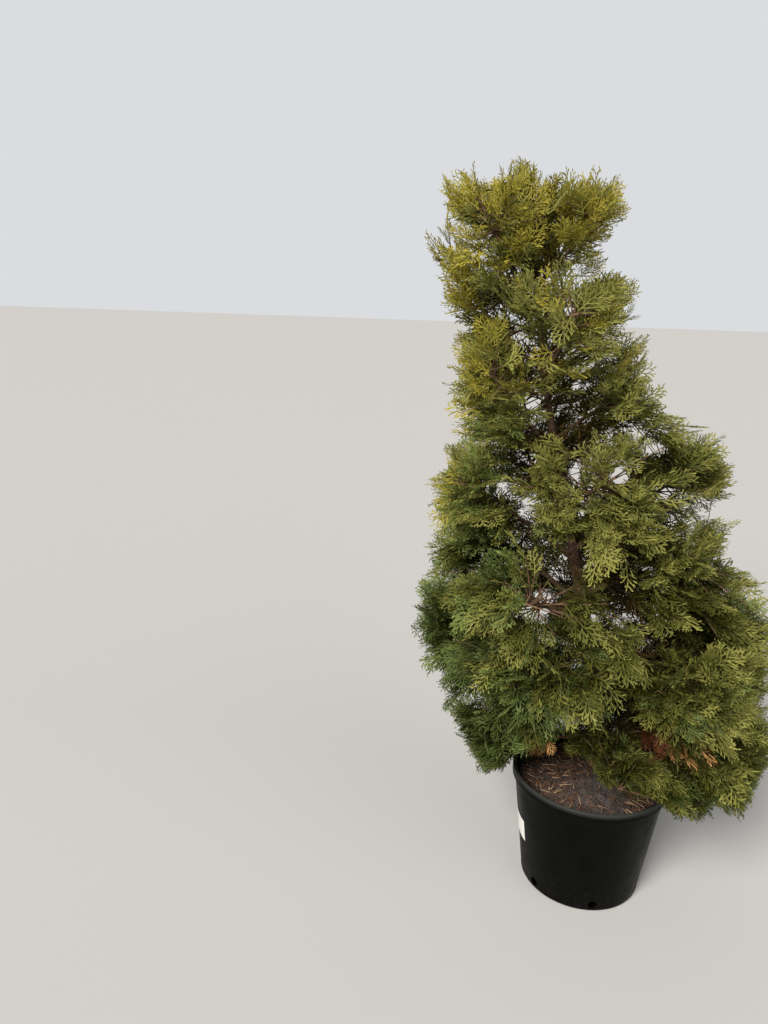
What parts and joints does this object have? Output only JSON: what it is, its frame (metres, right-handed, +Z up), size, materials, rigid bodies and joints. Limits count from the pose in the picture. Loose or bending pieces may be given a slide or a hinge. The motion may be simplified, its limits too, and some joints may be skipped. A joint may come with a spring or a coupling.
{
  "type": "potted thuja",
  "caption": "Young thuja with a leaning trunk and a dense crown of flat, fan-shaped sprays, in a round black nursery pot of dark soil.",
  "frame": {"origin": "middle of the pot's flat underside", "axes": "+Z up the pot's axis, -Y towards the viewer of the picture, +X to the viewer's right; the trunk leans towards -X"},
  "size_m": [0.6647, 0.5737, 1.206],
  "materials": {
    "pot_plastic": "satin",
    "soil": "rough",
    "bark": "rough",
    "foliage_shaded": "satin",
    "foliage_sunny": "satin"
  },
  "bodies": {
    "root": {"bough_crest_1": "bark", "bough_crest_2": "bark", "bough_crest_3": "bark", "bough_lower_1": "bark", "bough_lower_2": "bark", "bough_lower_3": "bark", "bough_lower_4": "bark", "bough_lower_5": "bark", "bough_middle_1": "bark", "bough_middle_2": "bark", "bough_middle_3": "bark", "bough_middle_4": "bark", "bough_shoulder_1": "bark", "bough_shoulder_2": "bark", "bough_shoulder_3": "bark", "bough_skirt_1": "bark", "bough_skirt_2": "bark", "bough_skirt_3": "bark", "bough_skirt_4": "bark", "bough_skirt_5": "bark", "bough_upper_1": "bark", "bough_upper_2": "bark", "bough_upper_3": "bark", "bough_waist_1": "bark", "bough_waist_2": "bark", "bough_waist_3": "bark", "bough_waist_4": "bark", "foliage_crest_1": "foliage_sunny", "foliage_crest_2": "foliage_sunny", "foliage_crest_3": "foliage_sunny", "foliage_lower_1": "foliage_shaded", "foliage_lower_2": "foliage_shaded", "foliage_lower_3": "foliage_shaded", "foliage_lower_4": "foliage_shaded", "foliage_lower_5": "foliage_shaded", "foliage_middle_1": "foliage_shaded", "foliage_middle_2": "foliage_shaded", "foliage_middle_3": "foliage_shaded", "foliage_middle_4": "foliage_shaded", "foliage_shoulder_1": "foliage_sunny", "foliage_shoulder_2": "foliage_sunny", "foliage_shoulder_3": "foliage_sunny", "foliage_skirt_1": "foliage_shaded", "foliage_skirt_2": "foliage_shaded", "foliage_skirt_3": "foliage_shaded", "foliage_skirt_4": "foliage_shaded", "foliage_skirt_5": "foliage_shaded", "foliage_top": "foliage_sunny", "foliage_upper_1": "foliage_sunny", "foliage_upper_2": "foliage_sunny", "foliage_upper_3": "foliage_sunny", "foliage_waist_1": "foliage_shaded", "foliage_waist_2": "foliage_shaded", "foliage_waist_3": "foliage_shaded", "foliage_waist_4": "foliage_shaded", "pot": "pot_plastic", "soil": "soil", "trunk": "bark"}
  },
  "joints": []
}
